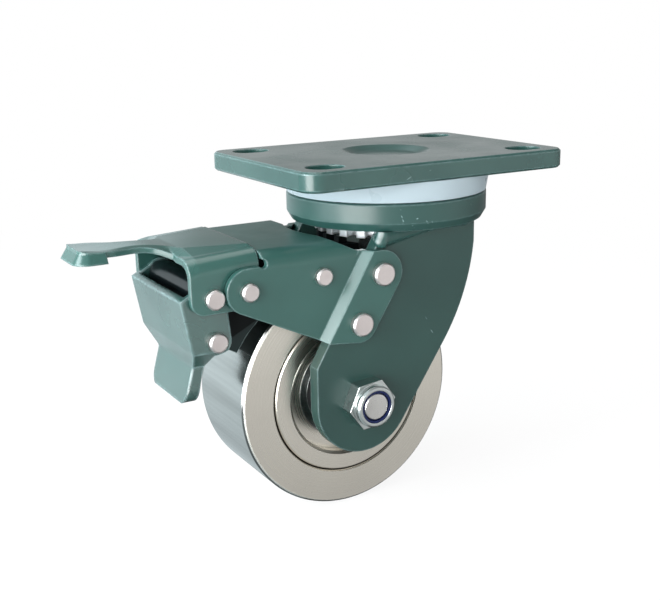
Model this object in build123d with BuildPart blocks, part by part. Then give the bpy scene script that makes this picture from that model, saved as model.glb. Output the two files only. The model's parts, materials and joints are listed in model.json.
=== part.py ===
from build123d import *
from math import acos, atan2, cos, degrees, hypot, radians, sin
import os

os.makedirs("parts", exist_ok=True)

# Swivel castor with a total-lock brake, in millimetres.
# The origin is on the swivel axis at the top face of the mounting plate, +Z up.
# X runs along the plate's long side, the brake pedal points to -X, the axle runs along Y.

# Clearances
seat_gap = 0.02
running_gap = 0.05
side_gap = 0.5
free_gap = 0.3

# Mounting plate
plate_length = 127.0
plate_overhang = 0.2
plate_t = 8.0
plate_corner_r = 7.5
plate_chamfer = 0.9
slot_spacing_x = 98.0
slot_spacing_y = 65.0
slot_width = 13.0
slot_length = 16.0
dish_rim_r = 19.0
dish_floor_r = 14.2
dish_depth = 1.9

# Swivel head
pin_r = 10.0
pin_thread_r = 8.0
pin_socket_depth = 4.5
race_t = 3.0
race_inner_r = 22.0
race_outer_r = 37.0
roller_r = 2.5
roller_end_gap = 3.0
roller_count = 16
cage_t = 2.0
seal_clearance = 1.5
seal_set_in = 0.1
seal_flare = 1.4
head_gap = 8.5
cup_wall = 6.5
cup_taper = 1.9
cup_chamfer = 0.7
cup_band_height = 8.2
cup_height = 11.5
bush_wall = 3.0
thrust_washer_t = 0.6
thrust_washer_r = 20.0

# Toothed ring that locks the swivel
lock_teeth = 24
lock_ring_r = 31.5
lock_root_r = 26.0
lock_slot_width = 4.4
lock_ring_t = 4.3
pin_washer_r = 15.0
pin_washer_t = 2.5
pin_nut_flats = 24.0
pin_nut_height = 10.0

# Wheel and axle
castor_offset = 32.8
axle_drop = 98.1
wheel_r = 50.0
wheel_width = 42.0
tread_chamfer = 1.2
groove_r = 35.2
groove_width = 1.6
groove_depth = 1.0
recess_r = 27.0
recess_chamfer = 1.2
recess_depth = 5.0
bearing_r = 21.0
bearing_bore_r = 10.0
bearing_width = 12.0
inner_ring_wall = 3.5
outer_ring_wall = 3.5
seal_t = 0.8
side_spacer_r = 14.0
axle_r = 6.0
axle_head_flats = 19.0
axle_head_height = 7.5
axle_end = 9.0
axle_end_chamfer = 0.8
axle_nut_flats = 19.0
axle_nut_hex = 6.2
axle_nut_height = 9.4
axle_nut_collar_r = 8.8
axle_nut_chamfer = 0.7
axle_nut_turn = 6.0
insert_r = 6.95
insert_t = 2.6

# Fork legs
leg_t = 6.0
leg_gap = 56.0
leg_end_r = 22.3
leg_knee_rise = 17.6
leg_front_top_x = -23.4
leg_rear_x = 22.4
leg_rear_bend_drop = 37.0
leg_rear_knee_x = 7.3
leg_rear_knee_drop = 78.7

# Brake sheets, nested side by side: bracket, pedal, lever
sheet_t = 2.5
lever_width = 53.0
pin_head_t = 2.7
small_pin_r = 2.9
outer_head_r = 3.6
link_head_r = 3.9
leg_rivet_r = 3.6
leg_rivet_head_r = 4.75
leg_rivet_head_t = 2.8
head_chamfer = 0.6

# Pivots and rivets seen from the side, as (x, z)
arm_pivot = (-51.0, -42.9)
pedal_pivot = (-83.2, -44.6)
link_top = (-96.4, -46.1)
link_bottom = (-94.7, -64.0)
upper_rivet = (-25.6, -44.5)
lower_rivet = (-36.0, -63.9)

# Brake bracket
web_top_drop = 30.3
web_front_x = -76.5
web_rear_r = 46.0
web_side_end_x = -43.5
web_fall_run = 9.0
bracket_bend_r = 7.0
upper_lobe_r = 9.7
lower_lobe_r = 8.0
pedal_lobe_r = 9.0
bracket_low_corner = (-50.3, -70.2)
joggle_run = 2.6
leg_edge_gap = 0.2
relief_r = 1.7

# Brake pedal: a hood that narrows and dips towards its front edge
pedal_top_drop = 28.5
pedal_front_x = -105.5
pedal_rear_gap = 0.7
pedal_corner_r = 5.5
pedal_end_r = 7.4
pedal_crease_x = -101.5
pedal_rear_section = (22.6, 23.2, 0.1, 6.0)
pedal_crease_section = (13.5, 22.5, 1.8, 6.5)
pedal_front_section = (7.5, 16.0, 2.3, 7.5)

# Tread tab, as the half width and drop of its crown and of its edge at each station along X
tab_stations = [
    (-100.0, 12.0, 28.6, 15.0, 29.2),
    (-106.0, 7.5, 28.2, 13.5, 30.3),
    (-111.0, 5.5, 27.6, 9.3, 28.4),
    (-118.0, 5.0, 27.1, 7.4, 27.6),
    (-127.0, 7.0, 27.0, 9.6, 27.3),
    (-133.5, 8.0, 26.7, 10.4, 26.9),
    (-140.2, 8.0, 26.1, 10.3, 26.3),
]
tab_t = 2.2
tab_corner_r = 4.0
lip_length = 9.8
lip_drop = 27.2
lip_height = 4.0
lip_flare = 32.0

# Release lever
lever_front = [(-108.8, -46.5), (-105.1, -67.0), (-101.8, -75.5), (-106.0, -90.5)]
lever_rear = [(-100.4, -91.0), (-98.2, -80.0), (-95.0, -70.6)]
lever_taper_drop = 68.0
lever_foot_half = 18.0
lever_tip_half = 18.0
lever_eye_r = 6.2
lever_bend_r = 3.5
lever_tip_corner_r = 6.0
link_tube_r = 5.5
link_washer_r = 4.2
pedal_travel = 20.0
arm_ratio = 0.2902

# Brake arm with its shoe and the tongue that enters the toothed ring
arm_eye_r = 5.3
arm_ear_inner = 17.0
arm_ear_t = 3.0
arm_web_t = 3.0
arm_web_drop = 2.0
open_pivot_play = 0.3
shoe_width = 33.0
shoe_low_angle = 31.0
shoe_high_angle = 54.0
shoe_release_gap = 0.8
shoe_start_run = 14.0
shoe_foot_t = 7.0
tongue_half = 12.0
tongue_t = 3.0
tongue_reach_r = 24.5
prong_width = 2.8
prong_height = 3.2
prong_inner_r = 26.3
prong_outer_r = 31.2
prong_step = 15.0

# Levels along the swivel axis
upper_race_z = -plate_t - race_t
lower_race_z = upper_race_z - 2 * roller_r - 2 * running_gap
race_seat_z = lower_race_z - race_t
cup_top_z = -plate_t - head_gap
band_bottom_z = cup_top_z - cup_band_height
cup_bottom_z = cup_top_z - cup_height
ring_top_z = cup_bottom_z - thrust_washer_t - 2 * running_gap
ring_bottom_z = ring_top_z - lock_ring_t
pin_washer_z = ring_bottom_z - pin_washer_t
pin_end_z = pin_washer_z - pin_nut_height - 2

# Radii of the swivel head
cup_r = race_outer_r + cup_wall
cup_bottom_r = cup_r - cup_taper
seal_inner_r = race_outer_r + seal_clearance
seal_bottom_r = cup_r - seal_set_in
seal_top_r = seal_bottom_r + seal_flare
plate_width = 2 * (seal_top_r + plate_overhang)
roller_pitch_r = (race_outer_r + race_inner_r) / 2
roller_length = race_outer_r - race_inner_r - 2 * roller_end_gap

# Side planes
axle_x = -castor_offset
axle_z = -axle_drop
wheel_half = wheel_width / 2
leg_inner = leg_gap / 2
leg_outer = leg_inner + leg_t
lever_half = lever_width / 2
pedal_half = lever_half + side_gap + sheet_t
bracket_half = pedal_half + side_gap + sheet_t
lobe_half = leg_outer + sheet_t
bearing_out = wheel_half - recess_depth
bearing_in = bearing_out - bearing_width
pedal_rear_x = web_front_x - pedal_rear_gap
knee = (axle_x - leg_end_r, axle_z + leg_knee_rise)
leg_front_top = (leg_front_top_x, cup_bottom_z)

along_y = Plane.XZ
web_top_z = -web_top_drop
pedal_top_z = -pedal_top_drop


def tangent_point(centre, radius, point, turn):
    """Point where a line from point touches the circle; turn is +1 or -1."""
    dx = point[0] - centre[0]
    dz = point[1] - centre[1]
    angle = atan2(dz, dx) + turn * acos(radius / hypot(dx, dz))
    return (centre[0] + radius * cos(angle), centre[1] + radius * sin(angle))


def turned_about(centre, point, angle_deg):
    """Point turned about the +Y axis through centre."""
    a = radians(angle_deg)
    dx = point[0] - centre[0]
    dz = point[1] - centre[1]
    return (centre[0] + dx * cos(a) + dz * sin(a), centre[1] - dx * sin(a) + dz * cos(a))


def corners_at(sketch, points):
    """Corners of a sketch on a side plane that lie at the given points."""
    return [v for v in sketch.vertices() if any(hypot(v.X - x, v.Y - z) < 0.01 for x, z in points)]


def finish(builder, name):
    builder.part.label = name
    export_step(builder.part, f"parts/{name}.step")


# Mounting plate: rounded slab, four slots, a shallow round dish, a socket for the kingpin
with BuildPart() as top_plate:
    with BuildSketch(Plane.XY.offset(-plate_t)):
        RectangleRounded(plate_length, plate_width, plate_corner_r)
    extrude(amount=plate_t)
    rims = top_plate.edges().group_by(Axis.Z)
    chamfer(rims[0] + rims[-1], plate_chamfer)
    with BuildSketch():
        with GridLocations(slot_spacing_x, slot_spacing_y, 2, 2):
            SlotOverall(slot_length, slot_width)
    extrude(amount=-plate_t, mode=Mode.SUBTRACT)
    with BuildSketch(along_y):
        with BuildLine():
            Polyline((0, 0), (dish_rim_r, 0), (dish_floor_r, -dish_depth), (0, -dish_depth), close=True)
        make_face()
    revolve(axis=Axis.Z, mode=Mode.SUBTRACT)
    with BuildSketch(Plane.XY.offset(-plate_t)):
        Circle(pin_r + seat_gap)
    extrude(amount=pin_socket_depth, mode=Mode.SUBTRACT)
finish(top_plate, "top_plate")

# Kingpin: smooth shank in the plate's socket, a shoulder for the toothed ring, a threaded end
with BuildPart() as kingpin:
    with BuildSketch(Plane.XY.offset(-plate_t + pin_socket_depth)):
        Circle(pin_r)
    extrude(amount=ring_top_z + plate_t - pin_socket_depth)
    with BuildSketch(Plane.XY.offset(ring_top_z)):
        Circle(pin_thread_r)
    extrude(amount=pin_end_z - ring_top_z)
    chamfer(kingpin.edges().group_by(Axis.Z)[0], 1)
finish(kingpin, "kingpin")

# Dust seal: a light cone between the plate and the cup
with BuildPart() as dust_seal:
    with BuildSketch(along_y):
        with BuildLine():
            Polyline(
                (seal_inner_r, -plate_t),
                (seal_top_r, -plate_t),
                (seal_bottom_r, cup_top_z + free_gap),
                (seal_inner_r, cup_top_z + free_gap),
                close=True,
            )
        make_face()
    revolve(axis=Axis.Z)
finish(dust_seal, "dust_seal")


def race(bottom_z):
    """Flat hardened ring of the thrust bearing."""
    with BuildPart() as ring:
        with BuildSketch(Plane.XY.offset(bottom_z)):
            Circle(race_outer_r)
            Circle(race_inner_r, mode=Mode.SUBTRACT)
        extrude(amount=race_t)
    return ring


upper_race = race(upper_race_z)
finish(upper_race, "upper_race")
lower_race = race(race_seat_z)
finish(lower_race, "lower_race")

# Rollers of the thrust bearing, lying along the radii, and the cage that spaces them
roller_z = (upper_race_z + lower_race_z) / 2
roller_plane = Plane(
    origin=(roller_pitch_r - roller_length / 2, 0, roller_z), x_dir=(0, 1, 0), z_dir=(1, 0, 0)
)
with BuildPart() as roller:
    with BuildSketch(roller_plane):
        Circle(roller_r)
    extrude(amount=roller_length)
with BuildPart() as thrust_rollers:
    with PolarLocations(0, roller_count):
        add(roller.part)
finish(thrust_rollers, "thrust_rollers")

with BuildPart() as roller_cage:
    with BuildSketch(Plane.XY.offset(roller_z - cage_t / 2)):
        Circle(race_outer_r - side_gap)
        Circle(race_inner_r + side_gap, mode=Mode.SUBTRACT)
        with PolarLocations(roller_pitch_r, roller_count):
            Rectangle(roller_length + 2 * running_gap, 2 * (roller_r + running_gap), mode=Mode.SUBTRACT)
    extrude(amount=cage_t)
finish(roller_cage, "roller_cage")

# Swivel cup: turned head of the fork with a race seat and a bore for the bush
with BuildPart() as swivel_cup:
    with BuildSketch(along_y):
        with BuildLine():
            Polyline(
                (0, cup_bottom_z),
                (cup_bottom_r, cup_bottom_z),
                (cup_r, band_bottom_z),
                (cup_r, cup_top_z - cup_chamfer),
                (cup_r - cup_chamfer, cup_top_z),
                (0, cup_top_z),
                close=True,
            )
        make_face()
    revolve(axis=Axis.Z)
    with BuildSketch(Plane.XY.offset(cup_top_z)):
        Circle(race_outer_r + seat_gap)
    extrude(amount=race_seat_z - cup_top_z, mode=Mode.SUBTRACT)
    with BuildSketch(Plane.XY.offset(cup_bottom_z)):
        Circle(pin_r + running_gap + bush_wall + seat_gap)
    extrude(amount=cup_height, mode=Mode.SUBTRACT)
finish(swivel_cup, "swivel_cup")

with BuildPart() as kingpin_bush:
    with BuildSketch(Plane.XY.offset(cup_bottom_z)):
        Circle(pin_r + running_gap + bush_wall)
        Circle(pin_r + running_gap, mode=Mode.SUBTRACT)
    extrude(amount=race_seat_z - cup_bottom_z)
finish(kingpin_bush, "kingpin_bush")

with BuildPart() as thrust_washer:
    with BuildSketch(Plane.XY.offset(cup_bottom_z)):
        Circle(thrust_washer_r)
        Circle(pin_r + running_gap, mode=Mode.SUBTRACT)
    extrude(amount=-thrust_washer_t)
finish(thrust_washer, "thrust_washer")

# Toothed ring, clamped on the kingpin below the cup
with BuildPart() as lock_ring:
    with BuildSketch(Plane.XY.offset(ring_bottom_z)):
        Circle(lock_ring_r)
        Circle(pin_thread_r + seat_gap, mode=Mode.SUBTRACT)
        slot_run = lock_ring_r - lock_root_r + 1
        with PolarLocations(lock_root_r + slot_run / 2, lock_teeth):
            Rectangle(slot_run, lock_slot_width, mode=Mode.SUBTRACT)
    extrude(amount=lock_ring_t)
finish(lock_ring, "lock_ring")

with BuildPart() as kingpin_washer:
    with BuildSketch(Plane.XY.offset(pin_washer_z)):
        Circle(pin_washer_r)
        Circle(pin_thread_r + seat_gap, mode=Mode.SUBTRACT)
    extrude(amount=pin_washer_t)
finish(kingpin_washer, "kingpin_washer")

with BuildPart() as kingpin_nut:
    with BuildSketch(Plane.XY.offset(pin_washer_z)):
        RegularPolygon(pin_nut_flats / 2, 6, major_radius=False)
        Circle(pin_thread_r + seat_gap, mode=Mode.SUBTRACT)
    extrude(amount=-pin_nut_height)
finish(kingpin_nut, "kingpin_nut")

# Fork legs: flat plates with a slanted front edge and a rounded end about the axle
rear_knee = (leg_rear_knee_x, -leg_rear_knee_drop)
rear_touch = tangent_point((axle_x, axle_z), leg_end_r, rear_knee, -1)
with BuildPart() as fork_leg:
    with BuildSketch(along_y.offset(leg_inner)):
        with BuildLine():
            l1 = Line(leg_front_top, knee)
            l2 = Line(l1 @ 1, (axle_x - leg_end_r, axle_z))
            low = (axle_x, axle_z - leg_end_r)
            l3 = ThreePointArc(l2 @ 1, low, rear_touch)
            l4 = Line(l3 @ 1, rear_knee)
            l5 = TangentArc(l4 @ 1, (leg_rear_x, -leg_rear_bend_drop), tangent=l4 % 1)
            l6 = Line(l5 @ 1, (leg_rear_x, cup_bottom_z))
            Line(l6 @ 1, l1 @ 0)
        make_face()
    extrude(amount=leg_t)
    with BuildSketch(Plane.XY.offset(ring_bottom_z - 2 * free_gap)):
        Circle(lock_ring_r + side_gap)
    extrude(amount=cup_bottom_z - ring_bottom_z + 2 * free_gap, mode=Mode.SUBTRACT)
    with BuildSketch(along_y.offset(leg_inner)):
        with Locations((axle_x, axle_z)):
            Circle(axle_r + running_gap)
        with Locations(upper_rivet, lower_rivet):
            Circle(leg_rivet_r + seat_gap)
    extrude(amount=leg_t, mode=Mode.SUBTRACT)
finish(fork_leg, "near_fork_leg")
with BuildPart() as far_fork_leg:
    add(mirror(fork_leg.part, about=Plane.XZ, mode=Mode.PRIVATE))
finish(far_fork_leg, "far_fork_leg")

# Brake bracket: folded channel whose walls step outward and lie on the outside of the legs
edge_run = hypot(leg_front_top[0] - knee[0], leg_front_top[1] - knee[1])
edge_dir = ((leg_front_top[0] - knee[0]) / edge_run, (leg_front_top[1] - knee[1]) / edge_run)
edge_plane = Plane(
    origin=(knee[0], 0, knee[1]),
    x_dir=(edge_dir[1], 0, -edge_dir[0]),
    z_dir=(edge_dir[0], 0, edge_dir[1]),
)
wall_inner = bracket_half - sheet_t
step_out = leg_outer - wall_inner
step_back = sheet_t * (hypot(step_out, joggle_run) - joggle_run) / step_out
step_start = leg_edge_gap + joggle_run
stub = step_start + step_back + 1.5
lobe_top = upper_rivet[1] + upper_lobe_r
pedal_lobe_top = pedal_pivot[1] + pedal_lobe_r
low_touch = tangent_point(pedal_pivot, pedal_lobe_r, bracket_low_corner, -1)
far_side = 3 * bracket_half


with BuildPart() as bracket_outline:
    with BuildSketch(along_y):
        with BuildLine():
            Polyline(
                (web_front_x, web_top_z),
                (web_side_end_x, web_top_z),
                (web_side_end_x + web_fall_run, lobe_top),
                (upper_rivet[0], lobe_top),
                upper_rivet,
                lower_rivet,
                (lower_rivet[0], lower_rivet[1] - lower_lobe_r),
                bracket_low_corner,
                low_touch,
                pedal_pivot,
                (pedal_pivot[0], pedal_lobe_top),
                (web_front_x, pedal_lobe_top),
                close=True,
            )
        make_face()
        with Locations(pedal_pivot):
            Circle(pedal_lobe_r)
    extrude(amount=far_side, both=True)
    with BuildSketch(along_y):
        with Locations(upper_rivet):
            Circle(upper_lobe_r)
        with Locations(lower_rivet):
            Circle(lower_lobe_r)
        make_hull()
    extrude(amount=far_side, both=True)

with BuildPart() as brake_bracket:
    with BuildSketch(Plane.YZ.offset(web_front_x - 3 * pedal_lobe_r)) as outer:
        with Locations((0, web_top_z - far_side / 2)):
            Rectangle(2 * bracket_half, far_side)
        fillet(outer.vertices().group_by(Axis.Y)[-1], bracket_bend_r)
    extrude(amount=far_side)
    with BuildSketch(Plane.YZ.offset(web_front_x - 3 * pedal_lobe_r)) as inner:
        with Locations((0, web_top_z - sheet_t - far_side / 2)):
            Rectangle(2 * wall_inner, far_side)
        fillet(inner.vertices().group_by(Axis.Y)[-1], bracket_bend_r - sheet_t)
    extrude(amount=far_side, mode=Mode.SUBTRACT)
    split(bisect_by=edge_plane.rotated((0, 90, 0)).offset(1 - stub), keep=Keep.BOTTOM)
    with BuildSketch(edge_plane):
        with BuildLine():
            Polyline(
                (-stub, -wall_inner),
                (-step_start, -wall_inner),
                (-leg_edge_gap, -leg_outer),
                (far_side, -leg_outer),
                (far_side, -lobe_half),
                (-leg_edge_gap - step_back, -lobe_half),
                (-step_start - step_back, -bracket_half),
                (-stub, -bracket_half),
                close=True,
            )
        make_face()
        mirror(about=Plane.XZ)
    extrude(amount=far_side, both=True)
    add(bracket_outline.part, mode=Mode.INTERSECT)
    with BuildSketch(Plane.XY.offset(lobe_top)):
        Circle(web_rear_r)
    extrude(amount=far_side, mode=Mode.SUBTRACT)
    with BuildSketch(along_y):
        with Locations(upper_rivet, lower_rivet):
            Circle(leg_rivet_r + seat_gap)
        with Locations(arm_pivot, pedal_pivot):
            Circle(small_pin_r + seat_gap)
        with Locations((web_front_x, pedal_lobe_top + relief_r / 2)):
            Circle(relief_r)
    extrude(amount=far_side, both=True, mode=Mode.SUBTRACT)
finish(brake_bracket, "brake_bracket")


# Rivets and pivot pins, all along Y
def pin_along_y(points, low_y, high_y, shaft_r, head_r, head_t):
    """Plain shafts from low_y to high_y with a flat round head on each end."""
    with BuildPart() as pins:
        with BuildSketch(along_y.offset(-high_y)):
            with Locations(points):
                Circle(shaft_r)
        extrude(amount=high_y - low_y)
        for start, direction in ((-high_y, -1), (-low_y, 1)):
            with BuildSketch(along_y.offset(start)):
                with Locations(points):
                    Circle(head_r)
            extrude(amount=direction * head_t)
        ends = pins.edges().filter_by(GeomType.CIRCLE).group_by(Axis.Y)
        chamfer(ends[0] + ends[-1], head_chamfer)
    return pins


near_rivets = pin_along_y(
    [upper_rivet, lower_rivet], -lobe_half, -leg_inner, leg_rivet_r, leg_rivet_head_r, leg_rivet_head_t
)
with BuildPart() as bracket_rivets:
    add(near_rivets.part)
    mirror(about=Plane.XZ)
finish(bracket_rivets, "bracket_rivets")
arm_pin = pin_along_y([arm_pivot], -bracket_half, bracket_half, small_pin_r, outer_head_r, pin_head_t)
finish(arm_pin, "brake_arm_pin")
pedal_pin = pin_along_y([pedal_pivot], -bracket_half, bracket_half, small_pin_r, outer_head_r, pin_head_t)
finish(pedal_pin, "pedal_pin")
link_pin = pin_along_y([link_top], -pedal_half, pedal_half, small_pin_r, link_head_r, pin_head_t)
finish(link_pin, "link_pin")
lever_pin = pin_along_y([link_bottom], -lever_half, lever_half, small_pin_r, link_head_r, pin_head_t)
finish(lever_pin, "lever_pin")

# Brake pedal: folded hood with a crowned tread tab that ends in a flared lip
pedal_low_z = pedal_pivot[1] - pedal_end_r
hood_sections = [
    (pedal_front_x, *pedal_front_section),
    (pedal_crease_x, *pedal_crease_section),
    (pedal_rear_x + pedal_end_r, *pedal_rear_section),
]


def hood(inset):
    """Hood as a solid block, inset from its outside, with a crown between two bent corners."""
    half = pedal_half - inset
    low = -far_side
    with BuildPart() as block:
        for x, crown_half, shoulder_half, fall, corner_r in hood_sections:
            top = pedal_top_z - inset
            shoulder = top - fall
            bend = corner_r - inset
            slant = bend * (1 - 0.5**0.5)
            with BuildSketch(Plane.YZ.offset(x)):
                with BuildLine():
                    Polyline((0, low), (half, low), (half, shoulder - bend))
                    ThreePointArc(
                        (half, shoulder - bend), (half - slant, shoulder - slant), (half - bend, shoulder)
                    )
                    Polyline((half - bend, shoulder), (shoulder_half, shoulder), (crown_half, top), (0, top))
                    Line((0, top), (0, low))
                make_face()
                mirror(about=Plane.YZ)
        loft(ruled=True)
    return block


def tab_section(station):
    """Crowned strip across the tab at one station."""
    x, crown_half, crown_drop, edge_half, edge_drop = station
    upper = [
        (-edge_half, -edge_drop),
        (-crown_half, -crown_drop),
        (crown_half, -crown_drop),
        (edge_half, -edge_drop),
    ]
    lower = [(y, z - tab_t) for y, z in reversed(upper)]
    with BuildSketch(Plane.YZ.offset(x)) as strip:
        with BuildLine():
            Polyline(*upper, *lower, close=True)
        make_face()
    return strip.sketch


tab_tip_x = tab_stations[-1][0]
tab_tip_half = tab_stations[-1][3]


def lip_block(inset):
    """Rounded end of the tab carried down by the lip's height, growing outward with the flare."""
    with BuildPart() as end:
        with BuildSketch(Plane(origin=(0, 0, -lip_drop), x_dir=(1, 0, 0), z_dir=(0, 0, -1))) as plan:
            with Locations((tab_tip_x + inset + tab_tip_half, 0)):
                Rectangle(2 * tab_tip_half, 2 * (tab_tip_half - inset))
            fillet(plan.vertices().group_by(Axis.X)[0], tab_corner_r - inset)
        extrude(amount=lip_height, taper=-lip_flare)
    return end


lip_outside = lip_block(0)
lip_inside = lip_block(tab_t)
with BuildPart() as tab_lip:
    add(lip_outside.part)
    add(lip_inside.part, mode=Mode.SUBTRACT)
    split(bisect_by=Plane.YZ.offset(tab_tip_x + lip_length), keep=Keep.BOTTOM)

with BuildPart() as pedal_tab:
    loft([tab_section(station) for station in tab_stations])
    with BuildSketch(Plane.XY.offset(-far_side)):
        for side in (-1, 1):
            with Locations((tab_tip_x, side * tab_tip_half)):
                Rectangle(2 * tab_corner_r, 2 * tab_corner_r)
            with Locations((tab_tip_x + tab_corner_r, side * (tab_tip_half - tab_corner_r))):
                Circle(tab_corner_r, mode=Mode.SUBTRACT)
    extrude(amount=far_side, mode=Mode.SUBTRACT)

with BuildPart() as pedal_outline:
    with BuildSketch(along_y) as side:
        with BuildLine():
            Polyline(
                (pedal_front_x, 0),
                (pedal_rear_x, 0),
                (pedal_rear_x, pedal_pivot[1]),
                (pedal_pivot[0], pedal_low_z),
                (pedal_front_x, pedal_low_z),
                close=True,
            )
        make_face()
        fillet(side.vertices().group_by(Axis.Y)[0].sort_by(Axis.X)[0], pedal_corner_r)
        with Locations(pedal_pivot):
            Circle(pedal_end_r)
    extrude(amount=far_side, both=True)

hood_outside = hood(0)
hood_inside = hood(sheet_t)
with BuildPart() as brake_pedal:
    add(hood_outside.part)
    add(hood_inside.part, mode=Mode.SUBTRACT)
    add(pedal_outline.part, mode=Mode.INTERSECT)
    add(pedal_tab.part)
    add(tab_lip.part)
    with BuildSketch(along_y):
        with Locations(pedal_pivot):
            Circle(small_pin_r + running_gap)
        with Locations(link_top):
            Circle(small_pin_r + seat_gap)
    extrude(amount=far_side, both=True, mode=Mode.SUBTRACT)
finish(brake_pedal, "brake_pedal")

# Release lever: pressed scoop with a kinked front plate and two side flanges
lever_foot_z = lever_rear[0][1]


def front_view(inset):
    """Lever seen from the front: straight flanges, then a taper to the rounded foot."""
    wide = lever_half - inset
    foot = lever_foot_half - inset
    tip = lever_tip_half - inset
    low = lever_foot_z + inset
    with BuildPart() as view:
        with BuildSketch(Plane.YZ) as shape:
            with BuildLine():
                Polyline(
                    (-wide, 0),
                    (wide, 0),
                    (wide, -lever_taper_drop),
                    (foot, lever_front[2][1]),
                    (tip, low),
                    (-tip, low),
                    (-foot, lever_front[2][1]),
                    (-wide, -lever_taper_drop),
                    close=True,
                )
            make_face()
            fillet(shape.vertices().group_by(Axis.Y)[0], lever_tip_corner_r - inset / 2)
        extrude(amount=-2 * far_side)
    return view


lever_outside = front_view(0)
lever_inside = front_view(sheet_t)
with BuildPart() as lever_side:
    with BuildSketch(along_y) as profile:
        with BuildLine():
            Polyline(
                *lever_front,
                *lever_rear,
                link_bottom,
                link_top,
                (link_top[0], link_top[1] + lever_eye_r),
                close=True,
            )
        make_face()
        fillet(corners_at(profile, lever_front[1:3]), lever_bend_r)
    extrude(amount=far_side, both=True)
    with BuildSketch(along_y):
        with Locations(link_top, link_bottom):
            Circle(lever_eye_r)
        make_hull()
    extrude(amount=far_side, both=True)
    add(lever_outside.part, mode=Mode.INTERSECT)

with BuildPart() as lever_hollow:
    with BuildSketch(along_y) as hollow:
        inner_front = [(x + sheet_t, z) for x, z in lever_front[:3]]
        inner_foot_z = lever_front[3][1] + sheet_t
        with BuildLine():
            Polyline(
                (inner_front[0][0], 0),
                *inner_front,
                (lever_front[3][0] + sheet_t, inner_foot_z),
                (0, inner_foot_z),
                (0, 0),
                close=True,
            )
        make_face()
        fillet(corners_at(hollow, inner_front[1:]), lever_bend_r - sheet_t / 2)
    extrude(amount=far_side, both=True)
    add(lever_inside.part, mode=Mode.INTERSECT)

with BuildPart() as release_lever:
    add(lever_side.part)
    add(lever_hollow.part, mode=Mode.SUBTRACT)
    with BuildSketch(along_y):
        with Locations(link_top):
            Circle(small_pin_r + running_gap)
        with Locations(link_bottom):
            Circle(small_pin_r + seat_gap)
    extrude(amount=far_side, both=True, mode=Mode.SUBTRACT)
finish(release_lever, "release_lever")

with BuildPart() as link_tube:
    tube_half = lever_half - sheet_t - free_gap
    with BuildSketch(along_y.offset(-tube_half)):
        with Locations(link_top):
            Circle(link_tube_r)
            Circle(small_pin_r + seat_gap, mode=Mode.SUBTRACT)
    extrude(amount=2 * tube_half)
finish(link_tube, "link_tube")

# Brake arm: barrel on its pivot, two ears down to the lever's pin, a cross web and a tongue
ear_outer = arm_ear_inner + arm_ear_t
arm_run = hypot(link_bottom[0] - arm_pivot[0], link_bottom[1] - arm_pivot[1])
arm_dir = ((link_bottom[0] - arm_pivot[0]) / arm_run, (link_bottom[1] - arm_pivot[1]) / arm_run)
arm_plane = Plane(
    origin=(arm_pivot[0], 0, arm_pivot[1]), x_dir=(arm_dir[0], 0, arm_dir[1]), z_dir=(0, 1, 0)
)
barrel_half = wall_inner - side_gap
tongue_top_z = ring_bottom_z - free_gap
tongue_plate_z = tongue_top_z - prong_height
web_run = arm_run - 2 * arm_eye_r
with BuildPart() as brake_arm:
    with BuildSketch(arm_plane):
        with Locations((web_run / 2, -arm_web_drop)):
            Rectangle(web_run, arm_web_t)
    extrude(amount=arm_ear_inner + arm_ear_t / 2, both=True)
    with BuildSketch(along_y):
        with Locations(arm_pivot):
            Circle(arm_eye_r)
    extrude(amount=barrel_half, both=True)
    with BuildSketch(along_y.offset(arm_ear_inner), along_y.offset(-ear_outer)):
        with Locations(arm_pivot, link_bottom):
            Circle(arm_eye_r)
        make_hull()
    extrude(amount=arm_ear_t)
    with BuildSketch(Plane.XY.offset(tongue_plate_z)):
        with BuildLine():
            reach_x = -(tongue_reach_r**2 - tongue_half**2) ** 0.5
            Polyline((reach_x, tongue_half), (arm_pivot[0], tongue_half))
            Line((arm_pivot[0], tongue_half), (arm_pivot[0], -tongue_half))
            Line((arm_pivot[0], -tongue_half), (reach_x, -tongue_half))
            ThreePointArc((reach_x, -tongue_half), (-tongue_reach_r, 0), (reach_x, tongue_half))
        make_face()
    extrude(amount=-tongue_t)
    with BuildSketch(Plane.XY.offset(tongue_plate_z)):
        with PolarLocations((prong_inner_r + prong_outer_r) / 2, 3, 180 - prong_step, 3 * prong_step):
            Rectangle(prong_outer_r - prong_inner_r, prong_width)
    extrude(amount=prong_height)
    with BuildSketch(along_y):
        with Locations(arm_pivot):
            Circle(small_pin_r + running_gap)
        with Locations(link_bottom):
            Circle(small_pin_r + open_pivot_play)
    extrude(amount=far_side, both=True, mode=Mode.SUBTRACT)
finish(brake_arm, "brake_arm")

with BuildPart() as link_washers:
    with BuildSketch(along_y.offset(ear_outer + free_gap)):
        with Locations(link_bottom):
            Circle(link_washer_r)
            Circle(small_pin_r + seat_gap, mode=Mode.SUBTRACT)
    extrude(amount=lever_half - sheet_t - ear_outer - 2 * free_gap)
    mirror(about=Plane.XZ)
finish(link_washers, "link_washers")

# Brake shoe: block under the arm's web whose face meets the tread when the pedal is down
wheel_seen_from_arm = turned_about(arm_pivot, (axle_x, axle_z), arm_ratio * pedal_travel)
shoe_arc_r = wheel_r + shoe_release_gap
web_under = arm_web_drop + arm_web_t / 2


def on_web(run):
    """Point on the underside of the arm's cross web, measured from the arm's pivot."""
    return (
        arm_pivot[0] + arm_dir[0] * run - arm_dir[1] * web_under,
        arm_pivot[1] + arm_dir[1] * run + arm_dir[0] * web_under,
    )


def on_tread(radius, angle):
    """Point above the tread as the applied arm sees it, angle above the horizontal."""
    a = radians(angle)
    return (wheel_seen_from_arm[0] - radius * cos(a), wheel_seen_from_arm[1] + radius * sin(a))


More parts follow.
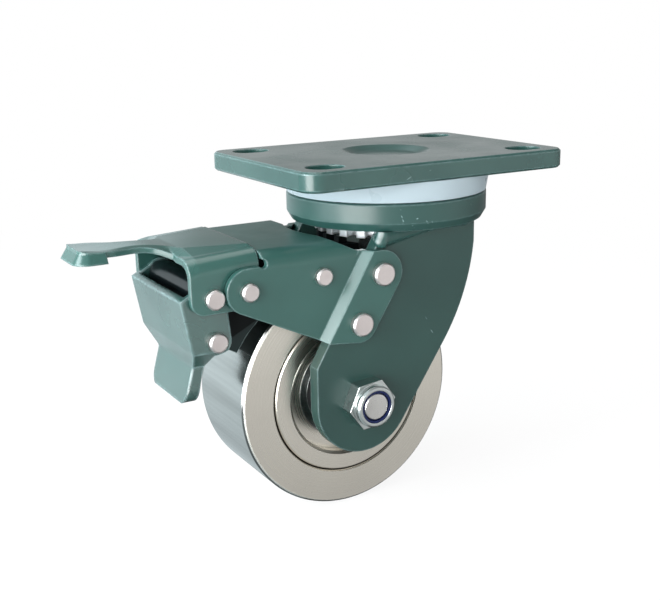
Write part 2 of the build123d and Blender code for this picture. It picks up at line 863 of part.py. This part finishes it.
with BuildPart() as brake_shoe:
    with BuildSketch(along_y.offset(-shoe_width / 2)):
        with BuildLine():
            Polyline(
                on_web(shoe_start_run),
                on_web(web_run),
                on_tread(shoe_arc_r + shoe_foot_t, shoe_low_angle),
                wheel_seen_from_arm,
                on_tread(shoe_arc_r, shoe_high_angle),
                close=True,
            )
        make_face()
        with Locations(wheel_seen_from_arm):
            Circle(shoe_arc_r, mode=Mode.SUBTRACT)
    extrude(amount=shoe_width)
finish(brake_shoe, "brake_shoe")

# Wheel: solid turned steel roller with a V groove, a recess and a bearing seat in each side
wheel_bore_r = bearing_r - outer_ring_wall / 2
axle_centre = (axle_x, 0, axle_z)
with BuildPart() as wheel:
    with BuildSketch(Plane(origin=axle_centre, x_dir=(1, 0, 0), z_dir=(0, 0, 1))):
        with BuildLine():
            Polyline(
                (wheel_bore_r, 0),
                (wheel_bore_r, bearing_in),
                (bearing_r + seat_gap, bearing_in),
                (bearing_r + seat_gap, bearing_out),
                (recess_r, bearing_out),
                (recess_r, wheel_half - recess_chamfer),
                (recess_r + recess_chamfer, wheel_half),
                (groove_r - groove_width / 2, wheel_half),
                (groove_r, wheel_half - groove_depth),
                (groove_r + groove_width / 2, wheel_half),
                (wheel_r - tread_chamfer, wheel_half),
                (wheel_r, wheel_half - tread_chamfer),
                (wheel_r, 0),
                close=True,
            )
        make_face()
        mirror(about=Plane.XZ)
    revolve(axis=Axis(axle_centre, (0, 1, 0)))
finish(wheel, "wheel")


def axle_rings(low_y, high_y, inner_r, outer_r, both_sides=True):
    """Ring about the axle from low_y to high_y, repeated on the other side."""
    with BuildPart() as rings:
        with BuildSketch(along_y.offset(low_y)):
            with Locations((axle_x, axle_z)):
                Circle(outer_r)
                Circle(inner_r, mode=Mode.SUBTRACT)
        extrude(amount=high_y - low_y)
        if both_sides:
            mirror(about=Plane.XZ)
    return rings


# Bearings: an outer ring on the wheel, an inner ring on the sleeve, seals between them
inner_ring_r = bearing_bore_r + inner_ring_wall
outer_ring_r = bearing_r - outer_ring_wall
bearing_outer_rings = axle_rings(bearing_in, bearing_out, outer_ring_r, bearing_r)
finish(bearing_outer_rings, "bearing_outer_rings")
bearing_inner_rings = axle_rings(bearing_in, bearing_out, bearing_bore_r + seat_gap, inner_ring_r)
finish(bearing_inner_rings, "bearing_inner_rings")
with BuildPart() as bearing_seals:
    for seal_y in (bearing_in + seal_t, bearing_out - 2 * seal_t):
        seal_pair = axle_rings(seal_y, seal_y + seal_t, inner_ring_r + free_gap, outer_ring_r - seat_gap)
        add(seal_pair.part)
finish(bearing_seals, "bearing_seals")

# Axle: sleeve and spacers clamped between the legs by a bolt and a self-locking nut
axle_sleeve = axle_rings(-leg_inner, leg_inner, axle_r + running_gap, bearing_bore_r, both_sides=False)
finish(axle_sleeve, "axle_sleeve")
bearing_spacer = axle_rings(
    -bearing_in, bearing_in, bearing_bore_r + seat_gap, inner_ring_r - 1, both_sides=False
)
finish(bearing_spacer, "bearing_spacer")
side_spacers = axle_rings(bearing_out, leg_inner, bearing_bore_r + seat_gap, side_spacer_r)
finish(side_spacers, "side_spacers")

with BuildPart() as axle_bolt:
    with BuildSketch(along_y.offset(-leg_outer)):
        with Locations((axle_x, axle_z)):
            RegularPolygon(axle_head_flats / 2, 6, major_radius=False)
    extrude(amount=-axle_head_height)
    with BuildSketch(along_y.offset(-leg_outer)):
        with Locations((axle_x, axle_z)):
            Circle(axle_r)
    extrude(amount=2 * leg_outer + axle_end)
    chamfer(axle_bolt.edges().group_by(Axis.Y)[0], axle_end_chamfer)
finish(axle_bolt, "axle_bolt")

insert_y = leg_outer + axle_nut_height - insert_t
with BuildPart() as axle_nut:
    with BuildSketch(along_y.offset(leg_outer)):
        with Locations((axle_x, axle_z)):
            RegularPolygon(axle_nut_flats / 2, 6, rotation=axle_nut_turn, major_radius=False)
    extrude(amount=axle_nut_hex)
    with BuildSketch(along_y.offset(leg_outer)):
        with Locations((axle_x, axle_z)):
            Circle(axle_nut_collar_r)
    extrude(amount=axle_nut_height)
    chamfer(axle_nut.edges().group_by(Axis.Y)[0], axle_nut_chamfer)
    with BuildSketch(along_y.offset(leg_outer)):
        with Locations((axle_x, axle_z)):
            Circle(axle_r + seat_gap)
    extrude(amount=axle_nut_height, mode=Mode.SUBTRACT)
    with BuildSketch(along_y.offset(insert_y)):
        with Locations((axle_x, axle_z)):
            Circle(insert_r + seat_gap)
    extrude(amount=insert_t, mode=Mode.SUBTRACT)
finish(axle_nut, "axle_nut")
nut_insert = axle_rings(
    insert_y, insert_y + insert_t - free_gap, axle_r + running_gap, insert_r, both_sides=False
)
finish(nut_insert, "nut_insert")
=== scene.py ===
"""Dressed scene of a swivel castor with a total-lock brake.

The solids come from the frame. This script gives them their surfaces, adds the weld beads under the swivel
cup, and sets the camera, floor, backdrop and lamps. The scene is in metres, and lengths named in millimetres
are turned into metres with MM.
"""
import json
import math

import bpy
from mathutils import Matrix, Vector, noise


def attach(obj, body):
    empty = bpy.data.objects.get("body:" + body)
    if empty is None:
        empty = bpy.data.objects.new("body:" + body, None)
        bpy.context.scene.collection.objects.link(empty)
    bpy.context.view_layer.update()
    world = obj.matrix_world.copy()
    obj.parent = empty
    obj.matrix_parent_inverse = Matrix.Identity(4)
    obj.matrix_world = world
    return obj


MM = 0.001
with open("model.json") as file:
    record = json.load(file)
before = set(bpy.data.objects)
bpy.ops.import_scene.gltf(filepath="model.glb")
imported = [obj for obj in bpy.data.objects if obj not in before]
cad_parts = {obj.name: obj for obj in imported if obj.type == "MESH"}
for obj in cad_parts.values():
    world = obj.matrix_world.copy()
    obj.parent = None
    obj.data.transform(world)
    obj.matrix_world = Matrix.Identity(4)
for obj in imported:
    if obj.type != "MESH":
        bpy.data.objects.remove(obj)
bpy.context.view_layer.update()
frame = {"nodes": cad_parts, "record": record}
scene = bpy.context.scene

# Places of the model, in millimetres
AXLE_X, AXLE_Z = -32.8, -98.1
WHEEL_R = 50.0
CUP_BOTTOM_Z = -28.0
LEG_OUT_Y = 34.0
LEG_FRONT_X = -23.4
LEG_FRONT_LEAN = 0.604

# Turned rings of the wheel, in millimetres
GROOVE_R = 35.2
BEVEL_R = 48.9
RIM_LINE_R = 49.6
TREAD_FROM_R = WHEEL_R - 1.5
TREAD_FULL_R = WHEEL_R - 0.5
RING_FADE = 0.2

# Weld beads under the cup: millimetres, numbers of stations, and one share of the height
BEAD_REAR_X = 21.0
BEAD_SWELL_X = 4.0
BEAD_REAR_TALL = 2.2
BEAD_FRONT_TALL = 7.0
BEAD_CORNER_R = 1.2
BEAD_FRONT_STEP = 0.55
BEAD_SIDE_STATIONS = 60
BEAD_CORNER_STATIONS = 6
BEAD_FRONT_STATIONS = 8
BEAD_CORNER_FALL = 0.2
BEAD_FRONT_FALL = 0.4
BEAD_THICK_SHARE = 0.42
BEAD_RIPPLE = 0.16
BEAD_BEAT = 0.06
BEAD_SINK = 0.15
BEAD_LAP = 0.1
BEAD_ACROSS = 9

# Camera at the photograph's viewing angle, its place in millimetres
CAM_AZ, CAM_EL, CAM_ROLL = math.radians(-29.95), math.radians(15.13), math.radians(-1.07)
CAM_AT = Vector((-243.79, -372.60, 53.12)) * MM
CAM_LENS = 55.8
CAM_SENSOR = 36

# Floor and light, with lengths in metres
FLOOR_HALF = 4.0
FLOOR_DROP = 0.0002
SHADOW_FROM, SHADOW_TO = 0.25, 0.7
SHADOW_GLOW = 0.88
SOFT_LIGHT = 0.55
COOL_LIGHT = (0.84, 0.96, 1.0)
LAMP_AIM = Vector((-0.03, 0, -0.06))


def make_camera():
    """The camera that was fitted to the photograph."""
    back = Vector((
        math.sin(CAM_AZ) * math.cos(CAM_EL), -math.cos(CAM_AZ) * math.cos(CAM_EL), math.sin(CAM_EL)))
    level = Vector((math.cos(CAM_AZ), math.sin(CAM_AZ), 0))
    upright = back.cross(level)
    right = math.cos(CAM_ROLL) * level + math.sin(CAM_ROLL) * upright
    up = back.cross(right)
    data = bpy.data.cameras.new("view")
    data.sensor_width = CAM_SENSOR
    data.lens = CAM_LENS
    data.clip_start = 0.01
    camera = bpy.data.objects.new("view", data)
    camera.matrix_world = Matrix.Translation(CAM_AT) @ Matrix((right, up, back)).transposed().to_4x4()
    scene.collection.objects.link(camera)
    scene.camera = camera


def srgb(r, g, b):
    """Linear colour of a screen colour given as three values up to 255."""
    def lin(c):
        c /= 255
        return c / 12.92 if c <= 0.04045 else ((c + 0.055) / 1.055) ** 2.4
    return lin(r), lin(g), lin(b), 1.0


def darker(colour, share):
    """The colour at a share of its brightness."""
    return tuple(c * share for c in colour[:3]) + (1.0,)


WHITE = (1, 1, 1, 1)
# Lighter paint for real scratches and for painted highlights along edges
RUBBED_PAINT_AND_EDGE_SHEEN = srgb(162, 190, 192)
# Light colour for painted highlights on moulded edges
MOULDING_EDGE_SHEEN = srgb(170, 190, 190)
FACE_STEEL = srgb(236, 230, 218)
TREAD_STEEL = srgb(214, 216, 214)
# Painted shade in the groove of the wheel's face
GROOVE_SHADE = srgb(46, 42, 38)
# Painted shade along the chamfer at the wheel's rim
RIM_LINE_SHADE = srgb(60, 62, 62)
GREEN = srgb(32, 65, 61), srgb(38, 73, 68)
# Darker copy of the same green for the fork legs: painted shade, as the lower legs get less light
SHADED_LEG_GREEN = srgb(26, 56, 52), srgb(32, 64, 59)
# Lighter copy of the same green for the brake bracket and pedal: painted light, as their tops catch the light
LIT_SHEET_GREEN = srgb(38, 74, 69), srgb(44, 82, 76)


class Tree:
    """A small helper round one node tree."""

    def __init__(self, tree):
        self.tree = tree
        tree.nodes.clear()

    def new(self, kind, inputs=None, **props):
        node = self.tree.nodes.new(kind)
        for key, value in props.items():
            setattr(node, key, value)
        for key, value in (inputs or {}).items():
            self.put(node.inputs[key], value)
        return node

    def put(self, socket, value):
        if isinstance(value, bpy.types.NodeSocket):
            self.tree.links.new(value, socket)
        else:
            socket.default_value = value

    def math(self, how, a, b=0.0):
        return self.new("ShaderNodeMath", {0: a, 1: b}, operation=how).outputs[0]

    def vector(self, how, a, b=(0, 0, 0)):
        return self.new("ShaderNodeVectorMath", {0: a, 1: b}, operation=how)

    def mix(self, factor, a, b):
        return self.new("ShaderNodeMix", {0: factor, 6: a, 7: b}, data_type="RGBA").outputs[2]

    def ramp(self, value, low, high, out_low=0.0, out_high=1.0, smooth=False):
        return self.new("ShaderNodeMapRange", {
            "Value": value, "From Min": low, "From Max": high, "To Min": out_low, "To Max": out_high,
        }, interpolation_type="SMOOTHSTEP" if smooth else "LINEAR").outputs[0]

    def rays(self, *kinds):
        """1 for a ray of any of these kinds."""
        path = self.new("ShaderNodeLightPath")
        share = path.outputs[kinds[0]]
        for kind in kinds[1:]:
            share = self.math("MAXIMUM", share, path.outputs[kind])
        return share


class Surface(Tree):
    """A material with one principled shader."""

    def __init__(self, name):
        self.mat = bpy.data.materials.new(name)
        self.mat.use_nodes = True
        super().__init__(self.mat.node_tree)
        self.out = self.new("ShaderNodeOutputMaterial")
        self.shader = self.new("ShaderNodeBsdfPrincipled")
        self.put(self.out.inputs[0], self.shader.outputs[0])

    def give(self, **values):
        for key, value in values.items():
            self.put(self.shader.inputs[key.replace("_", " ")], value)

    def place(self, scale=(1, 1, 1), turn=(0, 0, 0)):
        coord = self.new("ShaderNodeTexCoord")
        return self.new("ShaderNodeMapping", {
            "Vector": coord.outputs["Object"], "Scale": scale, "Rotation": turn}).outputs[0]

    def noise(self, vector, scale, detail):
        return self.new("ShaderNodeTexNoise", {
            "Scale": scale, "Detail": detail, "Roughness": 0.5, "Vector": vector}).outputs[0]

    def cloud(self, scale, detail, spread, low=0.0, high=1.0):
        """Soft noise between two values, with harder patches where the spread is small."""
        return self.ramp(self.noise(self.place(), scale, detail), 0.5 - spread, 0.5 + spread, low, high)

    def rounded(self, radius):
        """The normal with sharp edges rounded off, by a radius in millimetres."""
        return self.new("ShaderNodeBevel", {"Radius": radius * MM}, samples=4).outputs[0]

    def edge(self, rounded):
        """About 1 on a sharp edge and 0 elsewhere."""
        flat = self.new("ShaderNodeNewGeometry").outputs["Normal"]
        return self.ramp(self.vector("DOT_PRODUCT", rounded, flat).outputs["Value"], 0.995, 0.88)

    def bump(self, height, strength, distance, normal):
        """Relief of a height pattern, its distance in millimetres."""
        bumped = self.new("ShaderNodeBump", {
            "Height": height, "Strength": strength, "Distance": distance * MM, "Normal": normal}).outputs[0]
        self.give(Normal=bumped, Coat_Normal=bumped)

    def scratches(self, turn, long_scale, fine_scale):
        """Sparse thin streaks along one direction, in a few patches."""
        turned = self.place(turn=turn)
        stretched = self.vector("MULTIPLY", turned, (fine_scale, long_scale, fine_scale)).outputs[0]
        streak = self.ramp(self.noise(stretched, 1.0, 1.0), 0.75, 0.77)
        patch = self.ramp(self.noise(self.place((30, 30, 30), turn), 1.0, 1.0), 0.64, 0.66)
        return self.math("MULTIPLY", streak, patch)


def paint(name, shades, edge_sheen_share=0.3, radius=1.0, coat=0.6, coat_rough=0.15, rough=0.25, ior=1.5):
    """Glossy baked paint with soft cloudiness, a painted highlight along sharp edges and a few scratches."""
    s = Surface(name)
    deep, lit = shades
    rounded = s.rounded(radius)
    # Lighter paint along sharp edges: a painted edge highlight
    sheen_on_edges = s.math("MULTIPLY", s.edge(rounded), s.cloud(300, 3, 0.2, 0.5 * edge_sheen_share, 1.5 * edge_sheen_share))
    marks = s.math("MAXIMUM", s.scratches((1.5, 0, 0.6), 110, 1200), s.scratches((1.6, 0, -1.1), 130, 1400))
    # Painted edge highlight and real scratches, mixed towards one lighter colour
    scratches_and_sheen = s.math("MAXIMUM", sheen_on_edges, s.math("MULTIPLY", marks, 0.6))
    s.give(Base_Color=s.mix(scratches_and_sheen, s.mix(s.cloud(20, 4, 0.15), deep, lit), RUBBED_PAINT_AND_EDGE_SHEEN),
           Roughness=s.cloud(50, 3, 0.2, rough - 0.05, rough + 0.05), IOR=ior,
           Coat_Weight=s.cloud(16, 2, 0.15, 0.6 * coat, 1.2 * coat), Coat_Roughness=coat_rough, Coat_IOR=1.5)
    s.bump(s.noise(s.place(), 500, 2), 0.02, 0.1, rounded)
    return s.mat


def steel(name, colour, rough, edge_sheen_share=0.4, radius=0.5):
    """Bare or plated steel with a faint grain and painted highlights on its edges."""
    s = Surface(name)
    rounded = s.rounded(radius)
    grain = s.noise(s.place((500, 500, 1500)), 1, 3)
    plain = s.mix(s.cloud(90, 4, 0.15), darker(colour, 0.88), colour)
    # Edges mixed towards white: a painted edge highlight
    s.give(Base_Color=s.mix(s.math("MULTIPLY", s.edge(rounded), edge_sheen_share), plain, WHITE), Metallic=1.0,
           Roughness=s.ramp(grain, 0.3, 0.7, rough - 0.04, rough + 0.04))
    s.bump(grain, 0.05, 0.05, rounded)
    return s.mat


def moulded(name, colour, rough, gloss=0.5, edge_sheen_share=0.0):
    """Moulded plastic or rubber with a fine grain and, where asked, painted highlights on its edges."""
    s = Surface(name)
    rounded = s.rounded(0.4)
    plain = s.mix(s.cloud(30, 3, 0.2), darker(colour, 0.93), colour)
    # Edges mixed towards a light colour where asked: a painted edge highlight
    s.give(Base_Color=s.mix(s.math("MULTIPLY", s.edge(rounded), edge_sheen_share), plain, MOULDING_EDGE_SHEEN),
           Specular_IOR_Level=gloss, Roughness=s.cloud(80, 2, 0.2, rough - 0.05, rough + 0.05))
    s.bump(s.noise(s.place(), 900, 2), 0.08, 0.1, rounded)
    return s.mat


def turned_wheel():
    """Turned roller: satin side faces, a smoother tread, fine lines round the axle, and painted shade in the
    face's groove and along the rim's chamfer.
    """
    s = Surface("wheel_steel")
    split = s.new("ShaderNodeSeparateXYZ", {"Vector": s.place()})
    dx = s.math("SUBTRACT", split.outputs[0], AXLE_X * MM)
    dz = s.math("SUBTRACT", split.outputs[2], AXLE_Z * MM)
    radius = s.math("SQRT", s.math("ADD", s.math("MULTIPLY", dx, dx), s.math("MULTIPLY", dz, dz)))
    tread = s.ramp(radius, TREAD_FROM_R * MM, TREAD_FULL_R * MM)

    def ring(at_r, half, share):
        """A narrow ring round the axle, at its full share up to half a width from its radius."""
        off = s.math("ABSOLUTE", s.math("SUBTRACT", radius, at_r * MM))
        return s.ramp(off, half * MM, (half + RING_FADE) * MM, share, 0.0)

    turned = s.math("MULTIPLY", radius, s.math("SUBTRACT", 1.0, tread))
    lines = s.new("ShaderNodeTexNoise", {
        "Scale": 2200, "Detail": 3, "Roughness": 0.6, "W": s.math("ADD", turned, split.outputs[1]),
    }, noise_dimensions="1D").outputs[0]
    plain_face = s.mix(s.cloud(30, 4, 0.15), darker(FACE_STEEL, 0.94), FACE_STEEL)
    # Dark ring along the groove: painted shade
    face = s.mix(ring(GROOVE_R, 0.2, 1.0), plain_face, GROOVE_SHADE)
    streaks = s.ramp(s.noise(s.place((75, 7, 75)), 1, 3), 0.38, 0.62)
    # Dark line on the rim's chamfer: painted shade
    rim = s.mix(ring(RIM_LINE_R, 0.2, 0.75), s.mix(streaks, darker(TREAD_STEEL, 0.72), TREAD_STEEL), RIM_LINE_SHADE)
    face_rough = s.ramp(lines, 0.3, 0.7, 0.26, 0.34)
    rim_rough = s.ramp(lines, 0.3, 0.7, 0.13, 0.18)
    smooth = s.new("ShaderNodeMix", {0: tread, 2: face_rough, 3: rim_rough}, data_type="FLOAT").outputs[0]
    s.give(Base_Color=s.mix(tread, face, rim), Metallic=1.0,
           Roughness=s.math("MAXIMUM", smooth, ring(BEVEL_R, 0.3, 0.6)))
    s.bump(lines, 0.015, 0.04, s.rounded(0.3))
    return s.mat


def dress_solids():
    """Each node's own look, or else the look of its material slot."""
    slots = {item["node"]: item["material_slot"] for item in frame["record"]["subparts"]}
    for node, obj in frame["nodes"].items():
        look = NODE_LOOKS.get(node) or LOOKS[slots[node]]
        for holder in obj.material_slots:
            holder.material = look
        if not obj.material_slots:
            obj.data.materials.append(look)


def add_piece(name, points, faces, body, slot):
    """A smooth new mesh piece, given in millimetres, that rides on a body."""
    mesh = bpy.data.meshes.new(name)
    mesh.from_pydata([Vector(p) * MM for p in points], [], faces)
    mesh.polygons.foreach_set("use_smooth", [True] * len(mesh.polygons))
    mesh.materials.append(LOOKS[slot])
    obj = bpy.data.objects.new(name, mesh)
    scene.collection.objects.link(obj)
    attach(obj, body)


def bead_route():
    """Stations along the weld under the cup: x, y, outward direction, lean of the leg and height.

    The bead runs forward along the leg's outer side, turns its front corner and runs in along its front.
    """
    stations = []
    corner_x, corner_y = LEG_FRONT_X + BEAD_CORNER_R, LEG_OUT_Y - BEAD_CORNER_R
    for i in range(BEAD_SIDE_STATIONS):
        x = BEAD_REAR_X + (corner_x - BEAD_REAR_X) * i / (BEAD_SIDE_STATIONS - 1)
        near = max(0.0, (BEAD_SWELL_X - x) / (BEAD_SWELL_X - LEG_FRONT_X))
        tall = BEAD_REAR_TALL + (BEAD_FRONT_TALL - BEAD_REAR_TALL) * near ** 1.3
        stations.append((x, LEG_OUT_Y, Vector((0, 1)), 0.0, tall))
    for i in range(1, BEAD_CORNER_STATIONS + 1):
        turn = math.pi / 2 * i / BEAD_CORNER_STATIONS
        out = Vector((-math.sin(turn), math.cos(turn)))
        x, y = corner_x + BEAD_CORNER_R * out.x, corner_y + BEAD_CORNER_R * out.y
        tall = BEAD_FRONT_TALL - BEAD_CORNER_FALL * i
        stations.append((x, y, out, LEG_FRONT_LEAN * math.sin(turn), tall))
    corner_tall = BEAD_FRONT_TALL - BEAD_CORNER_FALL * BEAD_CORNER_STATIONS
    for i in range(1, BEAD_FRONT_STATIONS + 1):
        y = corner_y - BEAD_FRONT_STEP * i
        stations.append((LEG_FRONT_X, y, Vector((-1, 0)), LEG_FRONT_LEAN, corner_tall - BEAD_FRONT_FALL * i))
    return stations


def weld_bead(name, side):
    """Fillet weld between the cup's underside and one leg, thick at the leg's front corner."""
    points, faces = [], []
    stations = bead_route()
    for i, (x, y, out, lean, tall) in enumerate(stations):
        ends = min(1.0, i / 4, (len(stations) - 1 - i) / 3)
        ripple = BEAD_RIPPLE * noise.noise(Vector((i * 0.55, side, 0))) + BEAD_BEAT * math.sin(i * 1.9)
        thick = (BEAD_THICK_SHARE * tall + ripple) * (0.35 + 0.65 * ends)
        for j in range(BEAD_ACROSS):
            t = j / (BEAD_ACROSS - 1)
            down = tall * t * (0.5 + 0.5 * ends)
            profile = math.cos(t * math.pi / 2) ** 0.8 - 0.12 * math.sin(2 * math.pi * t)
            reach = thick * profile - BEAD_SINK + lean * down
            points.append((x + out.x * reach, side * (y + out.y * reach), CUP_BOTTOM_Z + BEAD_LAP - down))
    for i in range(len(stations) - 1):
        for j in range(BEAD_ACROSS - 1):
            a = i * BEAD_ACROSS + j
            quad = (a, a + BEAD_ACROSS, a + BEAD_ACROSS + 1, a + 1)
            faces.append(quad if side > 0 else quad[::-1])
    add_piece(name, points, faces, "fork", "green_paint")


def make_floor():
    """Pale floor that is near white to the eye and keeps a faint shadow."""
    mesh = bpy.data.meshes.new("floor")
    low = (AXLE_Z - WHEEL_R) * MM - FLOOR_DROP
    corners = [(-1, -1), (1, -1), (1, 1), (-1, 1)]
    mesh.from_pydata([(x * FLOOR_HALF, y * FLOOR_HALF, low) for x, y in corners], [], [(0, 1, 2, 3)])
    floor = bpy.data.objects.new("floor", mesh)
    floor.visible_glossy = False
    scene.collection.objects.link(floor)
    s = Surface("floor")
    s.give(Base_Color=(0.9, 0.9, 0.9, 1), Roughness=0.9)
    seen = s.rays("Is Camera Ray", "Is Transmission Ray", "Is Glossy Ray")
    away = s.vector("LENGTH", s.new("ShaderNodeTexCoord").outputs["Object"]).outputs["Value"]
    share = s.math("MULTIPLY", seen, s.ramp(away, SHADOW_FROM, SHADOW_TO, SHADOW_GLOW, 1.0, smooth=True))
    glow = s.new("ShaderNodeEmission", {"Color": WHITE, "Strength": 1.0}).outputs[0]
    blend = s.new("ShaderNodeMixShader", {"Fac": share, 1: s.shader.outputs[0], 2: glow})
    s.put(s.out.inputs[0], blend.outputs[0])
    mesh.materials.append(s.mat)


def mirrored_studio(t):
    """What glossy surfaces see.

    It is bright and cool on the left, lighter in front and in a band on the horizon, and grey elsewhere.
    """
    toward = t.new("ShaderNodeTexCoord").outputs["Generated"]
    side, depth, rise = t.new("ShaderNodeSeparateXYZ", {"Vector": toward}).outputs
    skew = t.math("SUBTRACT", side, t.math("MULTIPLY", depth, 0.3))
    left = t.math("MULTIPLY", t.ramp(skew, 0.145, 0.03, smooth=True),
                  t.ramp(depth, -0.45, -0.8, 1.0, 0.4, smooth=True))
    front = t.math("MULTIPLY", t.ramp(depth, 0.1, -0.85, 0.0, 0.72, smooth=True),
                   t.ramp(rise, 0.05, 0.25, 1.0, 0.25))
    band = t.math("MULTIPLY", t.ramp(rise, -0.08, 0.08, 0.0, 0.3, smooth=True),
                  t.ramp(rise, 0.13, 0.19, 1.0, 0.0, smooth=True))
    around = t.math("MULTIPLY", t.math("ADD", t.math("ADD", front, band), 0.26),
                    t.ramp(rise, -0.5, -0.2, 0.3, 1.0))
    bright = t.math("MULTIPLY", left, t.ramp(rise, -0.75, -0.1, 0.5, 1.0))
    colour = t.mix(left, (0.97, 0.99, 1, 1), (*COOL_LIGHT, 1))
    return t.new("ShaderNodeBackground", {0: colour, 1: t.math("MAXIMUM", bright, around)}).outputs[0]


def make_world():
    """White to the eye, the studio in reflections, and soft plain light on the object."""
    world = bpy.data.worlds.new("studio")
    world.use_nodes = True
    t = Tree(world.node_tree)
    white = t.new("ShaderNodeBackground", {0: WHITE, 1: 1.0}).outputs[0]
    soft = t.new("ShaderNodeBackground", {0: WHITE, 1: SOFT_LIGHT}).outputs[0]
    lit = t.new("ShaderNodeMixShader", {"Fac": t.rays("Is Glossy Ray"), 1: soft, 2: mirrored_studio(t)})
    seen = t.rays("Is Camera Ray", "Is Transmission Ray")
    blend = t.new("ShaderNodeMixShader", {"Fac": seen, 1: lit.outputs[0], 2: white})
    t.new("ShaderNodeOutputWorld", {0: blend.outputs[0]})
    scene.world = world


def lamp(name, at, size, power, colour=(1, 1, 1), glossy=True):
    """A rectangular lamp aimed at the castor, unseen by the camera."""
    data = bpy.data.lights.new(name, "AREA")
    data.shape = "RECTANGLE"
    data.size, data.size_y = size
    data.energy = power
    data.color = colour
    obj = bpy.data.objects.new(name, data)
    obj.location = at
    obj.rotation_euler = (LAMP_AIM - Vector(at)).to_track_quat("-Z", "Y").to_euler()
    obj.visible_camera = False
    obj.visible_glossy = glossy
    scene.collection.objects.link(obj)


LOOKS = {
    "green_paint": paint("green_paint", GREEN),
    # Brake arm in near black: painted shade for the dark hollow behind the lever
    "arm_black": moulded("arm_black", srgb(8, 13, 14), 0.5, gloss=0.15),
    # Brake shoe in dark teal: painted shade for its place deep under the lever, with painted highlights on
    # its edges
    "shoe_dark": moulded("shoe_dark", srgb(20, 36, 36), 0.35, gloss=0.3, edge_sheen_share=1.0),
    "seal_grey": moulded("seal_grey", srgb(160, 175, 182), 0.3),
    "steel": steel("bearing_steel", srgb(190, 190, 190), 0.22),
    # The lock ring's white tooth edges are painted highlights
    "cast_teeth": steel("ring_zinc", srgb(245, 248, 250), 0.38, edge_sheen_share=1.0, radius=1.0),
    "zinc": steel("zinc_plate", srgb(216, 222, 220), 0.22),
    # The rivet heads' white rims are painted highlights
    "rivet_steel": steel("rivet_steel", srgb(236, 226, 223), 0.34, edge_sheen_share=0.9),
    "wheel_steel": turned_wheel(),
    "cage_plastic": moulded("cage_plastic", srgb(60, 60, 64), 0.5),
    "bush_bronze": steel("bush_bronze", srgb(190, 150, 95), 0.35),
    "insert_nylon": moulded("insert_nylon", srgb(14, 26, 68), 0.3, gloss=0.3),
    "seal_rubber": moulded("seal_rubber", srgb(30, 30, 32), 0.6),
}
NODE_LOOKS = {
    # Link tube in near black: a painted dark reflection of the shaded hollow under the pedal
    "link_tube": moulded("tube_painted_dark", srgb(12, 18, 20), 0.2),
    # The release lever has stronger painted highlights along its edges
    "release_lever": paint("pressed_paint", GREEN, edge_sheen_share=0.45, radius=1.8, coat=0.9, ior=1.9),
    # The bracket and pedal take the lighter copy of the green: painted light
    "brake_bracket": paint("bracket_lit_paint", LIT_SHEET_GREEN, coat=0.25, coat_rough=0.22, rough=0.34),
    "brake_pedal": paint("pedal_lit_paint", LIT_SHEET_GREEN, coat=0.55),
    "swivel_cup": paint("cup_paint", GREEN, coat=0.3, coat_rough=0.3, rough=0.36),
    # The legs take the darker copy of the green: painted shade
    "near_fork_leg": paint("near_leg_shaded_paint", SHADED_LEG_GREEN, coat=0.2, coat_rough=0.24, rough=0.34),
    "far_fork_leg": paint("far_leg_shaded_paint", SHADED_LEG_GREEN, coat=0.2, coat_rough=0.24, rough=0.34),
    "axle_bolt": steel("bolt_steel", srgb(226, 224, 220), 0.3),
}

make_camera()
dress_solids()
weld_bead("near_weld", -1)
weld_bead("far_weld", 1)
make_floor()
make_world()
lamp("key", (-1.15, 0.1, 0.35), (0.8, 0.9), 19, COOL_LIGHT)
lamp("left_front", (-1.0, -0.47, 0.1), (0.85, 1.0), 21)
lamp("over", (0.1, 0.2, 1.2), (1.0, 1.0), 6)
lamp("fill", (0.8, -1.1, 0.3), (0.8, 0.8), 3.5, glossy=False)

scene.view_settings.view_transform = "Standard"
